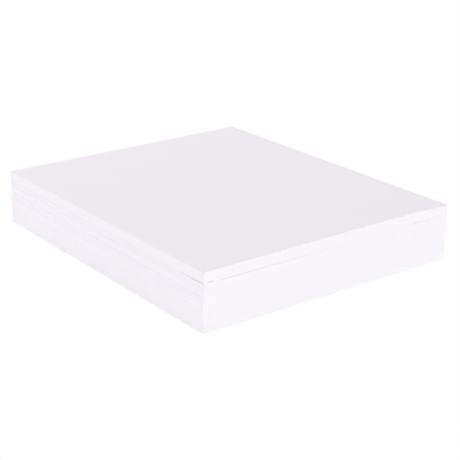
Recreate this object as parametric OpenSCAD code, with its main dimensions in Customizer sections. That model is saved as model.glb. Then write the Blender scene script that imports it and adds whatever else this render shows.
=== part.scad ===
// Stack of cut cartridge paper: loose sheets, knocked up by hand into one nearly
// flush block. The origin is the centre of the footprint, on the surface that the
// stack rests on. X runs along a sheet's short side, Y along its long side, Z up.
// The front corner, where the top sheets have sprung open, is at -X, -Y, and the
// side corner is at +X, -Y.

/* [Sheet] */
// Short side of a sheet
sheet_w = 254; // [250:1:420]
// Long side of a sheet
sheet_l = 305; // [200:1:600]
// Thickness of one sheet
paper_t = 0.18; // [0.1:0.005:0.4]
// Air between two sheets that lie on each other
air_t = 0.016; // [0.004:0.001:0.03]

/* [Sheets in each lift] */
// Sheets in the bottom lift
bottom_n = 120; // [20:1:200]
// Sheets in the second lift
second_n = 12; // [2:1:40]
// Sheets in the third lift
third_n = 13; // [2:1:40]
// Sheets in the fourth lift
fourth_n = 35; // [2:1:60]
// Sheets in the fifth lift
fifth_n = 19; // [2:1:60]
// Loose sheets between the fifth lift and the top lift
quire_n = 3; // [1:1:8]
// Sheets in the top lift
top_n = 42; // [10:1:60]

/* [How flush the sheets are] */
// Farthest that any sheet in a lift strays from its neighbours
jog = 0.02; // [0:0.01:0.2]
// How far the bottom lift stands out, towards -X: the second and third lift lean out to it
bottom_out = 0.85; // [0:0.05:3]
// How far each single stray sheet is set back from the lift over it, from the bottom up
stray_back = [0.2, 0.18, 0.23, 0.17, 0.15]; // [0:0.01:3]
// Turn of a stray sheet, in degrees
stray_turn = 0.01; // [0:0.01:0.2]

/* [Opening under the top lift] */
// Opening at the front corner
open_h = 0.5; // [0:0.05:3]
// Share of that opening which is left beyond the dip in the loose sheets
open_share = 0.38; // [0.2:0.01:1]
// Length of the opening along the short side
open_w = 185; // [40:1:189]
// Length of the opening along the long side
open_l = 46; // [35:1:65]
// Highest opening along the short side near the side corner
wave_h = 0.22; // [0:0.01:1]
// Distance of that highest opening from the side corner
wave_at = 41; // [20:1:43]
// Distance from the side corner at which the wave begins
wave_w = 46; // [46:1:60]
// How far the wave reaches along the long side
wave_l = 30; // [20:1:150]
// Share of the wave's height that is left at the side corner
wave_end = 0.2; // [0:0.05:1]

/* [Dip in the loose sheets' front edge] */
// Place along the short side where the dip ends
dip_end = 7.5; // [6:0.5:20]
// How far the dip reaches in from the short side
dip_l = 5; // [4:0.5:15]
// Width over which the loose sheets go down into the dip
crease_in = 3.5; // [1:0.5:5]
// Width over which they come up out of it
crease_out = 8; // [1:0.5:10]

/* [Raised front of the top sheet] */
// Rise at the front corner, opening and spread sheets together
corner_h = 0.5; // [0:0.05:3]
// Rise where the opening near the side corner is highest
rise_h = 1.4; // [0:0.05:3]
// How far the rise reaches along the long side
rise_l = 75; // [75:1:200]

/* [Hidden] */
// Width over which the loose sheets step down near the side corner
step_w = 3.5;
// Most of the air between two sheets that goes when they are pressed
air_squeeze = 0.9;
STRAY_N = 5;

// Rise from one sheet to the next, to a tenth of a micron
pitch = round(10000 * (paper_t + air_t)) / 10000;

// Number of the first sheet in each piece, counted from the bottom of the stack,
// with a stray sheet on each lift but the top one
second_first = bottom_n + 1;
third_first = second_first + second_n + 1;
fourth_first = third_first + third_n + 1;
fifth_first = fourth_first + fourth_n + 1;
quire_first = fifth_first + fifth_n + 1;
top_first = quire_first + quire_n;
sheets_n = top_first + top_n + 1;
stray_at = [second_first - 1, third_first - 1, fourth_first - 1, fifth_first - 1, quire_first - 1];

// Small offset of each sheet from flush, along X and along Y
jogs_x = rands(-jog, jog, sheets_n + 1, 11);
jogs_y = rands(-jog, jog, sheets_n + 1, 23);

function share(x) = min(1, max(0, x));

// How far sheet i stands out, towards -X
function lean(i) = bottom_out * share((fourth_first - i) / (fourth_first - second_first + 1));

// Offset of each stray sheet from flush, along X
stray_x = [for (k = [0:STRAY_N - 1]) stray_back[k] - lean(stray_at[k] + 1)];

// Middle of the footprint's box along X, when flush sheets are centred on 0
box_mid = (max(stray_x) + sin(stray_turn) * sheet_l / 2 - bottom_out - jog) / 2;

// Stations along X and Y, from the front corner, that carry the bends
dip_w = dip_end + crease_out;
stations_x = [
    0, crease_in / 4, crease_in * 3 / 4, crease_in,
    dip_end, dip_end + crease_out / 4, dip_end + crease_out * 3 / 4,
    for (k = [0:3]) dip_w + (open_w - dip_w) * k / 3,
    sheet_w - wave_w, sheet_w - wave_at - step_w / 2, sheet_w - wave_at + step_w / 2,
    sheet_w - wave_at / 2, sheet_w
];
stations_y = [
    0, dip_l,
    for (k = [1:2]) dip_l + (open_l - dip_l) * k / 2,
    for (k = [1:2]) open_l + (rise_l - open_l) * k / 2,
    sheet_l
];
last_x = len(stations_x) - 1;
last_y = len(stations_y) - 1;

// Opening that the front corner makes at the point u, v, measured from that corner
function sprung(u, v) = open_h * share(1 - u / open_w - v / open_l)
    * (1 - (1 - open_share) * share((u - dip_end) / crease_out));

// Share of the wave's height, d from the side corner
function wave(d) = d < wave_at
    ? wave_end + (1 - wave_end) * d / wave_at
    : share((wave_w - d) / (wave_w - wave_at));

// Share of the way down into the dip at u: 0 outside, 1 at the bottom of it
function dip(u) = min(share(u / crease_in), share((dip_w - u) / crease_out));

// Share of the opening that is pinched shut on the way down and on the way up
function pinch(u, v) = share(4 * min(dip(u), 1 - dip(u))) * share(1 - v / dip_l);

// Opening between the fifth lift and the top lift, less the loose sheets
function opening(u, v) = sprung(u, v) * (1 - pinch(u, v))
    + wave_h * wave(sheet_w - u) * share(1 - v / wave_l);

// Share of the opening that is under loose sheet k, counted from 1: 1 where it hangs to the
// top lift, 0 where it lies on the fifth lift. Near the side corner, the highest one hangs
function cling(k, u, v) = min(
    1 - dip(u) * share(1 - v / dip_l),
    k == quire_n ? 1 : share((sheet_w - wave_at + step_w / 2 - u) / step_w)
);

// Rise of the top sheet's underside over a flat one
function rise(u, v) = (corner_h + (rise_h - corner_h) * share(u / (sheet_w - wave_at)))
    * share((sheet_w - u) / (wave_at - step_w / 2)) * pow(share(1 - v / rise_l), 2);

// Rise of each sheet of the top lift over the one below it, past the pitch
function spread(u, v) = max(-air_squeeze * air_t, (rise(u, v) - opening(u, v)) / top_n);

// Height of the underside of sheet i at u, v, in the quire or above it
function underside(i, u, v) = i * pitch + (i < top_first
    ? cling(i - quire_first + 1, u, v) * opening(u, v)
    : opening(u, v) + spread(u, v) * (i - top_first));

// A lift of n flat sheets, the lowest of them sheet number first
module flat_lift(first, n) {
    last = first + n - 1;
    for (i = [first:last])
        translate([jogs_x[i] - lean(i) - box_mid - sheet_w / 2, jogs_y[i] - sheet_l / 2, i * pitch])
            cube([sheet_w, sheet_l, i < last ? pitch : paper_t]);
}

// A single flat sheet, set back and turned a little
module stray_sheet(k) {
    translate([stray_x[k - 1] - box_mid, 0, stray_at[k - 1] * pitch])
        rotate(-stray_turn)
            translate([-sheet_w / 2, -sheet_l / 2, 0])
                cube([sheet_w, sheet_l, paper_t]);
}

// One solid of n bent sheets, with a ring of points round it for each sheet
module bent_sheets(first, n) {
    across = last_x + 1;
    layer = across * (last_y + 1);
    rim = concat(
        [for (a = [0:last_x]) a],
        [for (b = [1:last_y]) b * across + last_x],
        [for (a = [last_x - 1:-1:0]) last_y * across + a],
        [for (b = [last_y - 1:-1:1]) b * across]
    );
    points = [
        for (k = [0:n]) for (b = [0:last_y]) for (a = [0:last_x])
            let (
                i = first + min(k, n - 1),
                u = stations_x[a],
                v = stations_y[b],
                dx = a == 0 || a == last_x ? jogs_x[i] : 0,
                dy = b == 0 || b == last_y ? jogs_y[i] : 0
            )
            [
                u + dx - box_mid - sheet_w / 2,
                v + dy - sheet_l / 2,
                underside(i, u, v) + (k < n ? 0 : paper_t)
            ]
    ];
    top = n * layer;
    cells = [for (b = [0:last_y - 1]) for (a = [0:last_x - 1]) b * across + a];
    faces = concat(
        [for (c = cells) each [[c, c + 1, c + across], [c + 1, c + across + 1, c + across]]],
        [for (c = cells) each [
            [top + c, top + c + across, top + c + 1],
            [top + c + 1, top + c + across, top + c + across + 1]
        ]],
        [for (k = [0:n - 1]) for (r = [0:len(rim) - 1])
            let (
                p = k * layer + rim[r],
                q = k * layer + rim[(r + 1) % len(rim)]
            )
            each [[p, p + layer, q], [q, p + layer, q + layer]]]
    );
    polyhedron(points, faces);
}

module bottom_lift() {
    color("#f0ecf1") flat_lift(0, bottom_n);
}

module second_lift() {
    color("#f0ecf1") flat_lift(second_first, second_n);
}

module third_lift() {
    color("#f0ecf1") flat_lift(third_first, third_n);
}

module fourth_lift() {
    color("#f0ecf1") flat_lift(fourth_first, fourth_n);
}

module fifth_lift() {
    color("#f0ecf1") flat_lift(fifth_first, fifth_n);
}

module quire_sheet(k) {
    color("#f0ecf1") bent_sheets(quire_first + k - 1, 1);
}

module top_lift() {
    color("#f0ecf1") bent_sheets(top_first, top_n);
}

module top_sheet() {
    color("#ece8ed") bent_sheets(top_first + top_n, 1);
}

bottom_lift();
second_lift();
third_lift();
fourth_lift();
fifth_lift();
for (k = [1:STRAY_N])
    color("#e9e4ea") stray_sheet(k);
for (k = [1:quire_n])
    quire_sheet(k);
top_lift();
top_sheet();
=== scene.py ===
# Looks of the stack of cut cartridge paper: every sheet as a thin closed slab with
# its own cut edge, white uncoated paper, a plain white floor and soft light.
# All lengths are in metres, in the frame's own axes.
import math

import bpy
import numpy as np
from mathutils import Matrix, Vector
from mathutils.bvhtree import BVHTree


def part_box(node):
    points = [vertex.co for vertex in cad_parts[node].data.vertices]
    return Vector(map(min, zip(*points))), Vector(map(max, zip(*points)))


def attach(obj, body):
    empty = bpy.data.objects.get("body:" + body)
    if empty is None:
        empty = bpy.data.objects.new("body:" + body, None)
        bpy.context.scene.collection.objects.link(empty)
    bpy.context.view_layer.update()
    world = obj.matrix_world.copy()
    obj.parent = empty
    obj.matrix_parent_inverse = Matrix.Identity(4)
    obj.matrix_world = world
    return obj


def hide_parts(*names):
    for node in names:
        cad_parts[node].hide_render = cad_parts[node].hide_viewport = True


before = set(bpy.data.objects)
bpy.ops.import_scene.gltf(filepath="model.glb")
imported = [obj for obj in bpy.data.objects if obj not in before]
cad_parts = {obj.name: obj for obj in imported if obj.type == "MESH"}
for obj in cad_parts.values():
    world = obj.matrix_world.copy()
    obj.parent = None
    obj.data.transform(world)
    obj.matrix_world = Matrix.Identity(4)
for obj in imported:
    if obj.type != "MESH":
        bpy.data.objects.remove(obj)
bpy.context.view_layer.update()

# Sheet, as in the part
SHEET_W = 0.254
SHEET_L = 0.305
PAPER_T = 0.00018
PITCH = 0.000196
STRAY_TURN = math.radians(-0.01)

# How far a sheet strays: by itself, with the sheets that it lies among, and along its edge,
# which waves sideways and ripples up and down
JOG = 0.000006
DRIFT = 0.00002
DRIFT_KEEP = 0.93
EDGE_WAVE = 0.000008
EDGE_LIFT = 0.000004
WAVES = 3
WAVES_A_SIDE = (0.5, 6.0)
RIPPLES_ROUND = (5, 12, 19)
SEED = 41

# Longest facets of a sheet, along both sides and along a bent one's short side, and the
# width of the rim on its left
STEP = 0.016
BENT_STEP_X = 0.01
RIM = 0.001

# Reading the solids: how far a bend lies from the ends of a side at least, how far inside the
# edge heights are taken, and how near in height the corners of one flat face are
END_REACH = 0.0005
EDGE_REACH = 0.00005
LEVEL = 0.00001

# Paper, as sRGB values from 0 to 1: its cut edges, the top sheet, and the flat faces that
# show in a gap between sheets, in the opening and in a shallow gap. The last three are painted shade:
# the same paper made darker and more violet where it shows only in gaps.
PAPER = (0.950, 0.939, 0.957)
PAPER_FACE = (0.958, 0.936, 0.963)
PAPER_PAINTED_GAP_SHADE = (0.937, 0.905, 0.972)
PAPER_PAINTED_OPENING_SHADE = (0.890, 0.844, 0.962)
PAPER_PAINTED_SHALLOW_GAP_SHADE = (0.949, 0.930, 0.975)

# How far one sheet's tone is from another's, and how much paler than the rest the left cut
# edges are painted, on the two lifts that lean out and on each stray sheet. This is painted light that
# makes up for the shade of the ledges and overhangs there; a value below 0 is painted shade that
# darkens a stray sheet's line.
TONE_SPREAD = 0.003
LEAN_PAINTED_LIGHT = 0.024
STRAY_PAINTED_LIGHT_AND_SHADE = {1: 0.09, 2: -0.05, 3: 0.09, 4: -0.09, 5: 0.0}

# The paper's surface: its tooth, as bumps a metre and their depth, its faint clouds and
# fibres, and the knife's marks, as marks a metre along each axis
ROUGHNESS = 0.92
SPECULAR = 0.25
EDGE_TOOTH = (2600.0, 0.00002)
FACE_TOOTH = (1700.0, 0.00004)
BUMP_STRENGTH = 0.6
CLOUDS = 26.0
CLOUD_SHADE = 0.006
FIBRE_SHADE = 0.012
KNIFE_MARKS = (900.0, 900.0, 60.0)

# Floor and backdrop: the floor's grey under the light, and the white that the camera sees
FLOOR_WHITE = 0.86
BACKDROP = 1.003

# Camera, fitted to the corners of the stack in the photograph: the frame is
# PHOTO_PX wide, and the focal length and the directions belong to that frame
PHOTO_PX = 460
FOCAL_PX = 1238.2
SENSOR_MM = 36.0
CAMERA_AZIMUTH = math.radians(-126.692)
CAMERA_ELEVATION = math.radians(20.491)
CAMERA_DISTANCE = 1.1009
CAMERA_RIGHT = 0.00871
CAMERA_UP = -0.01452
STACK_H = 0.04898

# Light: strengths are those of the world and of each lamp, in watts
WORLD_STRENGTH = 0.649
LAMPS = {
    "key_lamp": {"place": (2.7, -6.6, 2.1), "size": 3.6, "watts": 298.0, "tint": (0.981, 1.0, 0.983)},
    "side_lamp": {"place": (-6.4, 3.2, 1.8), "size": 3.2, "watts": 252.0, "tint": (1.0, 0.985, 0.996)},
    "back_lamp": {"place": (-0.12, 1.45, 0.5), "size": 0.5, "watts": 3.52, "tint": (1.0, 1.0, 1.0)},
}
FLOOR_RADIUS = 14.0
FLOOR_SIDES = 96
FLOOR_DROP = 0.0001

rng = np.random.default_rng(SEED)


def linear(srgb):
    """Linear light of sRGB values."""
    return [c / 12.92 if c <= 0.04045 else ((c + 0.055) / 1.055) ** 2.4 for c in srgb]


# Materials


def add(tree, kind, **values):
    """Adds a node and sets its inputs by name."""
    made = tree.nodes.new(kind)
    for key, value in values.items():
        made.inputs[key].default_value = value
    return made


def plus(tree, first, second):
    """Sum of two outputs."""
    made = tree.nodes.new("ShaderNodeMath")
    made.operation = "ADD"
    tree.links.new(first, made.inputs[0])
    tree.links.new(second, made.inputs[1])
    return made.outputs["Value"]


def noise(tree, place, scale, detail, roughness=0.5):
    """Noise from 0 to 1, of scale features a metre."""
    made = add(tree, "ShaderNodeTexNoise", Scale=scale, Detail=detail, Roughness=roughness)
    tree.links.new(place, made.inputs["Vector"])
    return made.outputs["Fac"]


def about_zero(tree, value, reach):
    """A value from 0 to 1, spread from minus reach to plus reach."""
    made = add(tree, "ShaderNodeMapRange", **{"To Min": -reach, "To Max": reach})
    tree.links.new(value, made.inputs["Value"])
    return made.outputs["Result"]


def paper_tone_and_painted_light(tree, place, fibres):
    """The sheet's own tone, with faint clouds and fibres in it, and the painted light and shade on the
    left cut edges of the leaning lifts and the stray sheets.
    """
    clouds = noise(tree, place, CLOUDS, 3.0)
    own = tree.nodes.new("ShaderNodeAttribute")
    own.attribute_name = "tone"
    shade = about_zero(tree, clouds, CLOUD_SHADE)
    speck = about_zero(tree, fibres, FIBRE_SHADE)
    return plus(tree, plus(tree, shade, speck), own.outputs["Fac"])


def knife_marks(tree, place):
    """Faint marks that the knife leaves on a cut edge."""
    stretch = add(tree, "ShaderNodeMapping", Scale=KNIFE_MARKS)
    tree.links.new(place, stretch.inputs["Vector"])
    return noise(tree, stretch.outputs["Vector"], 1.0, 2.0)


def paper_material(name, tooth, base, cut=False):
    """White uncoated paper. cut adds the knife's marks."""
    made = bpy.data.materials.new(name)
    made.use_nodes = True
    tree = made.node_tree
    shader = tree.nodes["Principled BSDF"]
    shader.inputs["Roughness"].default_value = ROUGHNESS
    shader.inputs["Specular IOR Level"].default_value = SPECULAR
    place = tree.nodes.new("ShaderNodeTexCoord").outputs["Object"]
    bumps, depth = tooth
    fibres = noise(tree, place, bumps, 4.0, 0.6)

    colour = tree.nodes.new("ShaderNodeVectorMath")
    colour.operation = "SCALE"
    colour.inputs[0].default_value = linear(base)
    tree.links.new(paper_tone_and_painted_light(tree, place, fibres), colour.inputs["Scale"])
    tree.links.new(colour.outputs["Vector"], shader.inputs["Base Color"])

    bump = add(tree, "ShaderNodeBump", Strength=BUMP_STRENGTH, Distance=depth)
    height = plus(tree, fibres, knife_marks(tree, place)) if cut else fibres
    tree.links.new(height, bump.inputs["Height"])
    tree.links.new(bump.outputs["Normal"], shader.inputs["Normal"])
    return made


def floor_material():
    """White floor: light grey to the light that it sends back, and plain white to the camera."""
    made = bpy.data.materials.new("floor_white")
    made.use_nodes = True
    tree = made.node_tree
    tree.nodes.clear()
    out = tree.nodes.new("ShaderNodeOutputMaterial")
    grey = linear([FLOOR_WHITE] * 3)
    lit = add(tree, "ShaderNodeBsdfDiffuse", Color=(*grey, 1.0))
    seen = add(tree, "ShaderNodeEmission", Color=(1.0, 1.0, 1.0, 1.0), Strength=BACKDROP)
    pick = tree.nodes.new("ShaderNodeMixShader")
    tree.links.new(straight_ray(tree), pick.inputs[0])
    tree.links.new(lit.outputs[0], pick.inputs[1])
    tree.links.new(seen.outputs[0], pick.inputs[2])
    tree.links.new(pick.outputs[0], out.inputs["Surface"])
    return made


def straight_ray(tree):
    """1 for rays that show the backdrop: camera, glossy and transmission rays."""
    path = tree.nodes.new("ShaderNodeLightPath")
    shown = path.outputs["Is Camera Ray"]
    for other in ("Is Glossy Ray", "Is Transmission Ray"):
        larger = tree.nodes.new("ShaderNodeMath")
        larger.operation = "MAXIMUM"
        tree.links.new(shown, larger.inputs[0])
        tree.links.new(path.outputs[other], larger.inputs[1])
        shown = larger.outputs["Value"]
    return shown


# Sheets


def stations(length, step, bends=()):
    """Places along a side: its ends and every bend, with steps of step at most between them."""
    ends = [0.0, *bends, length]
    runs = [
        np.linspace(a, b, math.ceil((b - a) / step), endpoint=False)
        for a, b in zip(ends[:-1], ends[1:])
    ]
    return np.concatenate([*runs, [length]])


def bends(node, axis, start, length):
    """Places along a side, from start, where the solid's own facets meet."""
    seen = {round(v.co[axis] - start, 4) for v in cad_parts[node].data.vertices}
    return sorted(place for place in seen if END_REACH < place < length - END_REACH)


def wave(count):
    """Random smooth wave along a side, as a function of the place along it."""
    waves = rng.uniform(*WAVES_A_SIDE, count), rng.uniform(0, 2 * math.pi, count)
    return lambda t: sum(np.sin(2 * math.pi * k * t / SHEET_L + p) for k, p in zip(*waves)) / count


def drifts(count):
    """Offset of each sheet from the lift's middle, along X and Y: a slow drift and a small
    jog. The lift's first and last sheet lie where the solid has them."""
    out = np.zeros((count, 2))
    step = rng.normal(0, 1, (count, 2))
    for i in range(1, count):
        out[i] = DRIFT_KEEP * out[i - 1] + math.sqrt(1 - DRIFT_KEEP**2) * step[i]
    loose = np.sin(np.linspace(0, math.pi, count))[:, None]
    return loose * (DRIFT * (out - out.mean(0)) + rng.uniform(-JOG, JOG, (count, 2)))


def middles(node, bent):
    """Middles, in plan, of a node's lowest and highest sheet."""
    low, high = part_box(node)
    if bent:
        return [np.array((low + high)[:2]) / 2] * 2
    points = np.array([v.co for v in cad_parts[node].data.vertices])
    out = []
    for level in (low.z, high.z):
        corners = points[np.abs(points[:, 2] - level) < LEVEL, :2]
        out.append((corners.min(0) + corners.max(0)) / 2)
    return out


def surface(node):
    """Heights of a node's underside and top at x, y."""
    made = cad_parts[node].data
    tree = BVHTree.FromPolygons(
        [v.co.copy() for v in made.vertices], [tuple(p.vertices) for p in made.polygons]
    )
    low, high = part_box(node)

    def at(x, y):
        x = min(max(x, low.x + EDGE_REACH), high.x - EDGE_REACH)
        y = min(max(y, low.y + EDGE_REACH), high.y - EDGE_REACH)
        under = tree.ray_cast(Vector((x, y, low.z - 1)), Vector((0, 0, 1)))[0]
        over = tree.ray_cast(Vector((x, y, high.z + 1)), Vector((0, 0, -1)))[0]
        return under.z, over.z

    return at


def waved(xs, ys):
    """Grid of places over a sheet, with waves in its four edges."""
    bend = [wave(WAVES) for _ in range(4)]
    gx, gy = (g.copy() for g in np.meshgrid(xs, ys))
    gx[:, 0] += EDGE_WAVE * bend[0](ys)
    gx[:, -1] += EDGE_WAVE * bend[1](ys)
    gy[0, :] += EDGE_WAVE * bend[2](xs)
    gy[-1, :] += EDGE_WAVE * bend[3](xs)
    return gx, gy


def ripples(around):
    """Lift of a sheet's edge, at places from 0 to 1 round it."""
    starts = rng.uniform(0, 2 * math.pi, len(RIPPLES_ROUND))
    waves = [np.sin(2 * math.pi * n * around + p) for n, p in zip(RIPPLES_ROUND, starts)]
    return EDGE_LIFT * sum(waves) / len(waves)


def slab(xs, ys, low, high, offset, turn, caps):
    """Points of one sheet, its faces and the number of those that are its two flat sides.
    low and high are grids of heights over ys and xs. With caps, each flat side is one face."""
    nx, ny = len(xs), len(ys)
    gx, gy = waved(xs, ys)
    px = (gx - SHEET_W / 2) * math.cos(turn) - (gy - SHEET_L / 2) * math.sin(turn) + offset[0]
    py = (gx - SHEET_W / 2) * math.sin(turn) + (gy - SHEET_L / 2) * math.cos(turn) + offset[1]
    index = np.arange(nx * ny).reshape(ny, nx)
    rim = np.concatenate([index[0, :], index[1:, -1], index[-1, -2::-1], index[-2:0:-1, 0]])
    lift = np.zeros(nx * ny)
    lift[rim] = ripples(np.linspace(0, 1, len(rim), endpoint=False))
    under = np.column_stack([px.ravel(), py.ravel(), low.ravel() + lift])
    over = np.column_stack([px.ravel(), py.ravel(), high.ravel() + lift])
    if caps:
        under, over = under[rim], over[rim]
        n = len(rim)
        rim = np.arange(n)
        faces = [tuple(rim[::-1]), tuple(rim + n)]
    else:
        n = nx * ny
        a, b = index[:-1, :-1].ravel(), index[:-1, 1:].ravel()
        c, d = index[1:, 1:].ravel(), index[1:, :-1].ravel()
        faces = list(zip(a, d, c, b)) + list(zip(a + n, b + n, c + n, d + n))
    flat = len(faces)
    after = np.roll(rim, -1)
    faces += list(zip(rim, after, after + n, rim + n))
    return np.vstack([under, over]), faces, flat


def grid(node, bent):
    """Stations along a node's two sides, its underside and top over them, and the number of
    its sheets."""
    low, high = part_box(node)
    at = surface(node)
    middle = (low + high) / 2
    left, front = middle.x - SHEET_W / 2, middle.y - SHEET_L / 2
    under, over = at(middle.x, middle.y)
    count = int(round((over - under - PAPER_T) / PITCH)) + 1
    if bent:
        xs = stations(SHEET_W, BENT_STEP_X, bends(node, 0, left, SHEET_W))
        ys = stations(SHEET_L, STEP, bends(node, 1, front, SHEET_L))
        heights = np.array([[at(left + x, front + y) for x in xs] for y in ys])
    else:
        xs = stations(SHEET_W, STEP, [RIM])
        ys = stations(SHEET_L, STEP)
        heights = np.broadcast_to((under, over), (len(ys), len(xs), 2))
    return xs, ys, heights[:, :, 0], heights[:, :, 1], count


def mesh_for(node, name, points, faces, tones_and_painted_light, parts, materials):
    """One piece that stands for a node and rides with it."""
    mesh = bpy.data.meshes.new(name)
    mesh.from_pydata(points.tolist(), [], faces)
    # The tone attribute carries each sheet's own tone and the painted light and shade on some left cut
    # edges
    tone = mesh.attributes.new("tone", "FLOAT", "POINT")
    tone.data.foreach_set("value", tones_and_painted_light)
    for material in materials:
        mesh.materials.append(material)
    mesh.polygons.foreach_set("material_index", parts)
    mesh.validate()
    mesh.update()
    piece = bpy.data.objects.new(name, mesh)
    bpy.context.collection.objects.link(piece)
    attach(piece, "root")
    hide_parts(node)
    return piece


def sheets(name, node, materials, bent=False, turn=0.0, left_painted_light=0.0):
    """All the sheets of a node, spread between its underside and top. The materials are that
    of their cut edges and that of their flat sides, whose colour is painted shade where they show only
    in gaps, and left_painted_light is how much paler their left cut edges are painted, as painted
    light; below 0 it is painted shade."""
    xs, ys, under, over, count = grid(node, bent)
    rise = (over - under) / (count - 1 + PAPER_T / PITCH)
    places = drifts(count) + np.linspace(*middles(node, bent), count)
    points, faces, tones_and_painted_light, parts = [], [], [], []
    first = 0
    for i in range(count):
        floor = under + rise * i
        top = floor + rise * PAPER_T / PITCH
        some, more, flat = slab(xs, ys, floor, top, places[i], turn, not bent)
        points.append(some)
        faces += [tuple(int(v) + first for v in f) for f in more]
        parts += [1] * flat + [0] * (len(more) - flat)
        # Mask of the left cut edge, which gets painted light, or painted shade where the value is
        # below 0
        painted_left_edge = some[:, 0] < places[i][0] - SHEET_W / 2 + RIM / 2
        tones_and_painted_light.append(1.0 + rng.normal(0, TONE_SPREAD) + left_painted_light * painted_left_edge)
        first += len(some)
    return mesh_for(
        node, name, np.vstack(points), faces, np.concatenate(tones_and_painted_light), parts, materials
    )


edges = paper_material("paper_edges", EDGE_TOOTH, PAPER, cut=True)
face = paper_material("paper_face", FACE_TOOTH, PAPER_FACE)
# The next three materials are painted shade: flat paper faces made darker and more violet where they
# show only in gaps between sheets
shallow_gap_painted_shade = paper_material("paper_shallow_gap_painted_shade", FACE_TOOTH, PAPER_PAINTED_SHALLOW_GAP_SHADE)
gap_painted_shade = paper_material("paper_gap_painted_shade", FACE_TOOTH, PAPER_PAINTED_GAP_SHADE)
opening_painted_shade = paper_material("paper_opening_painted_shade", FACE_TOOTH, PAPER_PAINTED_OPENING_SHADE)

for lift in ("bottom_lift", "fourth_lift", "fifth_lift"):
    sheets(lift + "_sheets", lift, (edges, gap_painted_shade))
# The leaning lifts' left cut edges are painted paler: painted light against the shade of their ledges
for lift in ("second_lift", "third_lift"):
    leaning = sheets(lift + "_sheets", lift, (edges, shallow_gap_painted_shade), left_painted_light=LEAN_PAINTED_LIGHT)
# Each stray sheet's left cut edge is painted: painted light where its value is above 0, painted shade
# where it is below
for number, stray_light_and_shade in STRAY_PAINTED_LIGHT_AND_SHADE.items():
    node = f"stray_sheet_{number}"
    flat_painted_shade = opening_painted_shade if number == max(STRAY_PAINTED_LIGHT_AND_SHADE) else gap_painted_shade
    stray = sheets(node + "_cut", node, (edges, flat_painted_shade), turn=STRAY_TURN, left_painted_light=stray_light_and_shade)
for node in sorted(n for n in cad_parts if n.startswith("quire_sheet_")):
    flat_painted_shade = opening_painted_shade if node == "quire_sheet_1" else shallow_gap_painted_shade
    sheets(node + "_cut", node, (edges, flat_painted_shade), bent=True)
sheets("top_lift_sheets", "top_lift", (edges, gap_painted_shade), bent=True)
sheets("top_sheet_cut", "top_sheet", (face, face), bent=True)

# Floor, light and camera

bpy.ops.mesh.primitive_circle_add(
    vertices=FLOOR_SIDES, radius=FLOOR_RADIUS, fill_type="NGON", location=(0, 0, -FLOOR_DROP)
)
floor = bpy.context.object
floor.name = "floor"
floor.data.materials.append(floor_material())

world = bpy.data.worlds.new("white_room")
bpy.context.scene.world = world
world.use_nodes = True
sky = world.node_tree
sky.nodes.clear()
room = add(sky, "ShaderNodeBackground", Color=(1.0, 1.0, 1.0, 1.0), Strength=WORLD_STRENGTH)
backdrop = add(sky, "ShaderNodeBackground", Color=(1.0, 1.0, 1.0, 1.0), Strength=BACKDROP)
choose = sky.nodes.new("ShaderNodeMixShader")
sky.links.new(straight_ray(sky), choose.inputs[0])
sky.links.new(room.outputs[0], choose.inputs[1])
sky.links.new(backdrop.outputs[0], choose.inputs[2])
sky_out = sky.nodes.new("ShaderNodeOutputWorld")
sky.links.new(choose.outputs[0], sky_out.inputs["Surface"])

for name, lamp in LAMPS.items():
    data = bpy.data.lights.new(name, "AREA")
    data.shape = "SQUARE"
    data.size = lamp["size"]
    data.energy = lamp["watts"]
    data.color = lamp["tint"]
    made = bpy.data.objects.new(name, data)
    bpy.context.collection.objects.link(made)
    made.location = lamp["place"]
    aim = Vector((0, 0, STACK_H / 2)) - made.location
    made.rotation_mode = "QUATERNION"
    made.rotation_quaternion = aim.to_track_quat("-Z", "Y")

back = Vector((
    math.cos(CAMERA_ELEVATION) * math.cos(CAMERA_AZIMUTH),
    math.cos(CAMERA_ELEVATION) * math.sin(CAMERA_AZIMUTH),
    math.sin(CAMERA_ELEVATION),
))
right = Vector((-math.sin(CAMERA_AZIMUTH), math.cos(CAMERA_AZIMUTH), 0))
up = back.cross(right)
lens = bpy.data.cameras.new("camera")
lens.sensor_width = SENSOR_MM
lens.lens = SENSOR_MM * FOCAL_PX / PHOTO_PX
camera = bpy.data.objects.new("camera", lens)
bpy.context.collection.objects.link(camera)
camera.rotation_mode = "QUATERNION"
camera.rotation_quaternion = (-back).to_track_quat("-Z", "Y")
camera.location = (
    Vector((0, 0, STACK_H / 2))
    + back * CAMERA_DISTANCE
    + right * CAMERA_RIGHT
    + up * CAMERA_UP
)
bpy.context.scene.camera = camera
bpy.context.scene.view_settings.view_transform = "Standard"
